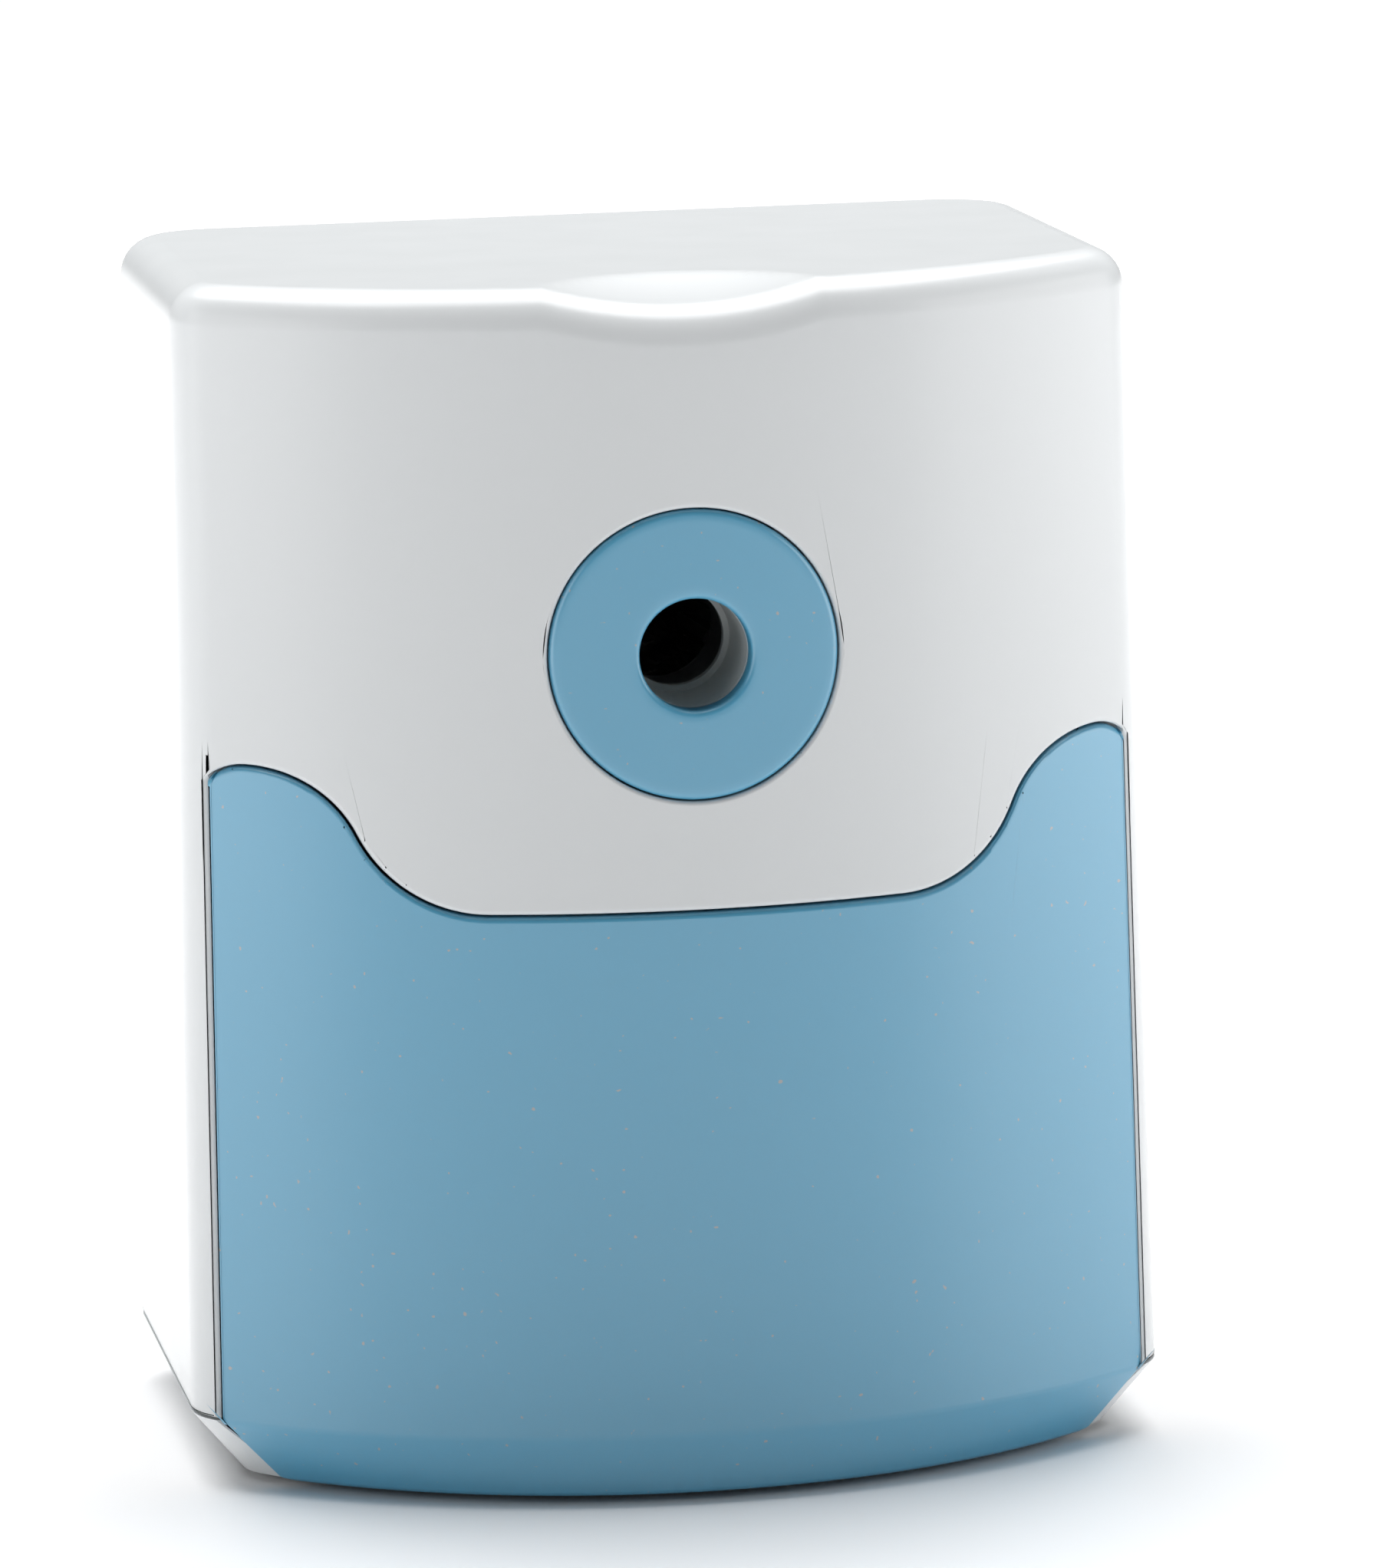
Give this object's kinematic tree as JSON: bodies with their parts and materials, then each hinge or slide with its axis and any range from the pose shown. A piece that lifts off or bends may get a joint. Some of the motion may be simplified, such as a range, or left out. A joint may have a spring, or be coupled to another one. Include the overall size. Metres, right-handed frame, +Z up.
{
  "type": "crank pencil sharpener",
  "caption": "Desk pencil sharpener with a rear hand crank, a planetary helical cutter, a ringed pencil hole and a wave-edged pull-out shavings drawer.",
  "frame": {"origin": "on the surface it stands on, under the middle of the housing's plan", "axes": "+Z up, -Y towards the user (the pencil goes in along +Y), +X to the user's right"},
  "size_m": [0.076, 0.0862, 0.093],
  "materials": {
    "white_plastic": "semi-gloss moulded ABS",
    "blue_plastic": "satin moulded ABS",
    "grey_plastic": "matte moulded acetal",
    "black_plastic": "matte moulded nylon",
    "nylon": "matte acetal",
    "clear_tray": "smooth moulded plastic",
    "zinc": "die-cast metal, as cast",
    "steel": "turned steel",
    "tool_steel": "ground hardened steel",
    "zinc_plate": "bright zinc plated",
    "rubber": "matte"
  },
  "bodies": {
    "housing": {"housing_shell": "white_plastic", "rear_cover": "white_plastic", "cover_screws": "zinc_plate", "base_plate": "white_plastic", "base_screws": "zinc_plate", "rubber_mat": "rubber", "entry_ring": "blue_plastic", "pencil_guide": "grey_plastic", "bearing_wall": "white_plastic", "wall_screws": "zinc_plate", "front_bearing": "nylon", "ring_gear": "black_plastic", "ring_gear_screws": "zinc_plate", "rear_bearing": "nylon"},
    "carrier": {"cutter_carrier": "zinc", "crank_shaft": "steel", "drive_pin": "steel", "cutter_axle": "steel", "axle_clip": "steel", "thrust_washer": "steel", "crank_arm": "white_plastic", "crank_screw": "zinc_plate", "knob_pin": "steel"},
    "cutter": {"helical_cutter": "tool_steel", "cutter_pinion": "tool_steel"},
    "knob": {"crank_knob": "blue_plastic", "knob_cap": "white_plastic"},
    "drawer": {"drawer_front": "blue_plastic", "drawer_tray": "clear_tray", "tray_screws": "zinc_plate"}
  },
  "joints": [
    {"name": "crank_spin", "type": "hinge", "parent": "housing", "child": "carrier", "pos_m": [0, 0.02, 0.0653], "axis": [0, 1, 0], "continuous": true},
    {"name": "cutter_spin", "type": "hinge", "parent": "carrier", "child": "cutter", "pos_m": [0, 0.046, 0.0653], "axis": [0, 0.9848, 0.1736], "continuous": true},
    {"name": "knob_spin", "type": "hinge", "parent": "carrier", "child": "knob", "pos_m": [0, 0.045, 0.0333], "axis": [0, 1, 0], "continuous": true},
    {"name": "drawer_slide", "type": "slide", "parent": "housing", "child": "drawer", "axis": [0, -1, 0], "range_m": [0, 0.05]}
  ],
  "couplings": [
    {"joint": "cutter_spin", "follows": "crank_spin", "ratio": -2.2}
  ]
}
